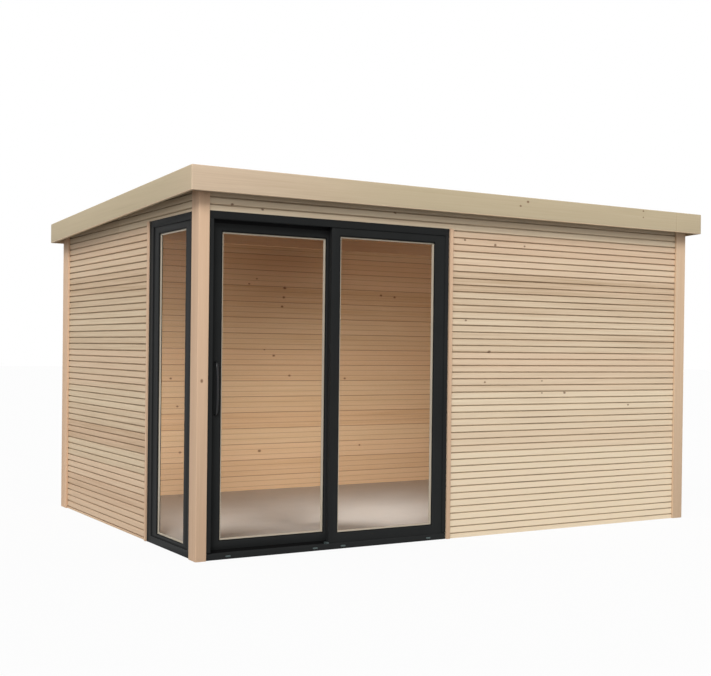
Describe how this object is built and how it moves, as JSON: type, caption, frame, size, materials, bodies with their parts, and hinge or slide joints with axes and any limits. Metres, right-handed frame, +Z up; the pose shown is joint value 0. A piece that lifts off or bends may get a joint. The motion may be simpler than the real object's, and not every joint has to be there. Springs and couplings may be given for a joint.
{
  "type": "garden shed with sliding glass door",
  "caption": "Wooden garden shed with a pent roof, ribbed board walls, a sliding glass door and a tall fixed side window.",
  "frame": {"origin": "centre of the plan at the level of the ground", "axes": "+X along the front to the right, +Y from the front with the door to the back, +Z up"},
  "size_m": [4.149, 2.843, 2.312],
  "materials": {
    "ribbed_wood": "natural softwood, planed",
    "post_wood": "natural softwood, planed",
    "fascia_wood": "natural softwood, slightly weathered",
    "plain_timber": "sawn softwood",
    "dark_frame": "anthracite powder coat, satin",
    "handle_metal": "black powder coat, glossy",
    "running_gear": "zinc plated steel",
    "black_plastic": "black nylon",
    "pale_plastic": "pale grey plastic",
    "glazing": "clear insulating glass",
    "grey_floor": "grey painted boards, smooth",
    "roofing_felt": "dark mineral felt"
  },
  "bodies": {
    "shed": {"front_wall": "ribbed_wood", "door_head_wall": "ribbed_wood", "left_wall": "ribbed_wood", "window_head_wall": "ribbed_wood", "right_wall": "ribbed_wood", "back_wall": "ribbed_wood", "front_left_post": "post_wood", "front_right_corner_board": "post_wood", "back_right_corner_board": "post_wood", "back_left_corner_board": "post_wood", "door_strip": "post_wood", "window_strip": "post_wood", "door_head": "dark_frame", "door_left_jamb": "dark_frame", "door_right_jamb": "dark_frame", "door_sill": "dark_frame", "weep_covers": "pale_plastic", "fixed_leaf_frame": "dark_frame", "fixed_leaf_glass": "glazing", "fixed_leaf_stop": "pale_plastic", "window_frame": "dark_frame", "window_cover": "dark_frame", "window_sash": "dark_frame", "window_glass": "glazing", "floor_deck": "grey_floor", "floor_bearers": "plain_timber", "roof_purlins": "plain_timber", "roof_deck": "plain_timber", "roof_felt": "roofing_felt", "fascia_front": "fascia_wood", "fascia_right": "fascia_wood", "fascia_back": "fascia_wood", "fascia_left": "fascia_wood"},
    "sliding_leaf": {"sliding_leaf_frame": "dark_frame", "sliding_leaf_glass": "glazing", "leaf_rollers": "running_gear", "leaf_top_guides": "black_plastic", "door_handle": "handle_metal"}
  },
  "joints": [
    {"name": "door_slide", "type": "slide", "parent": "shed", "child": "sliding_leaf", "axis": [1, 0, 0], "range_m": [0, 0.73]}
  ]
}
